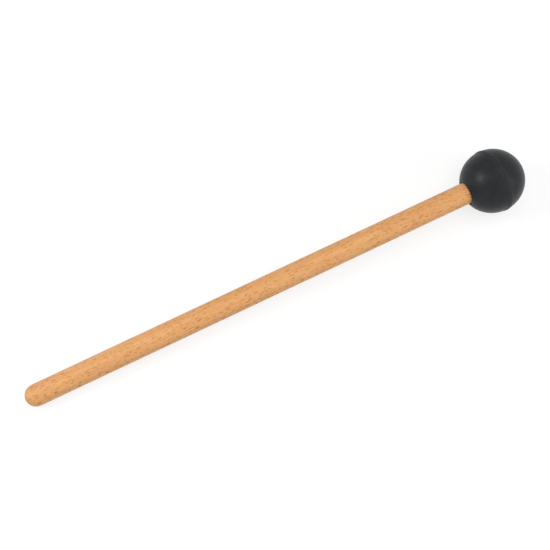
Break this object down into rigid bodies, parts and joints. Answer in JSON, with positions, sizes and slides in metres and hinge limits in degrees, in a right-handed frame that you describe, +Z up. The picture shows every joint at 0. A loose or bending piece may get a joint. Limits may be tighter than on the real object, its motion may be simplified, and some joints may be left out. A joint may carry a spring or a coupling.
{
  "type": "singing bowl mallet",
  "caption": "Mallet for singing bowls: a straight round beech shaft with a rounded butt, glued into a black rubber ball that strikes the bowl. It lies on its ball and butt.",
  "frame": {"origin": "on the surface that the mallet lies on, under the middle of its bounding box", "axes": "+X along the mallet from the butt towards the ball, +Z up. The shaft's axis lies in the XZ plane and rises 2.5 degrees towards the ball, because the mallet lies on its ball and its butt"},
  "size_m": [0.2926, 0.0356, 0.0356],
  "materials": {
    "beech": "fine-sanded beech with a clear satin coat",
    "black_rubber": "matte moulded rubber",
    "cured_glue": "cured amber glue"
  },
  "bodies": {
    "root": {"beech_shaft": "beech", "rubber_ball": "black_rubber", "glue_film": "cured_glue"}
  },
  "joints": []
}
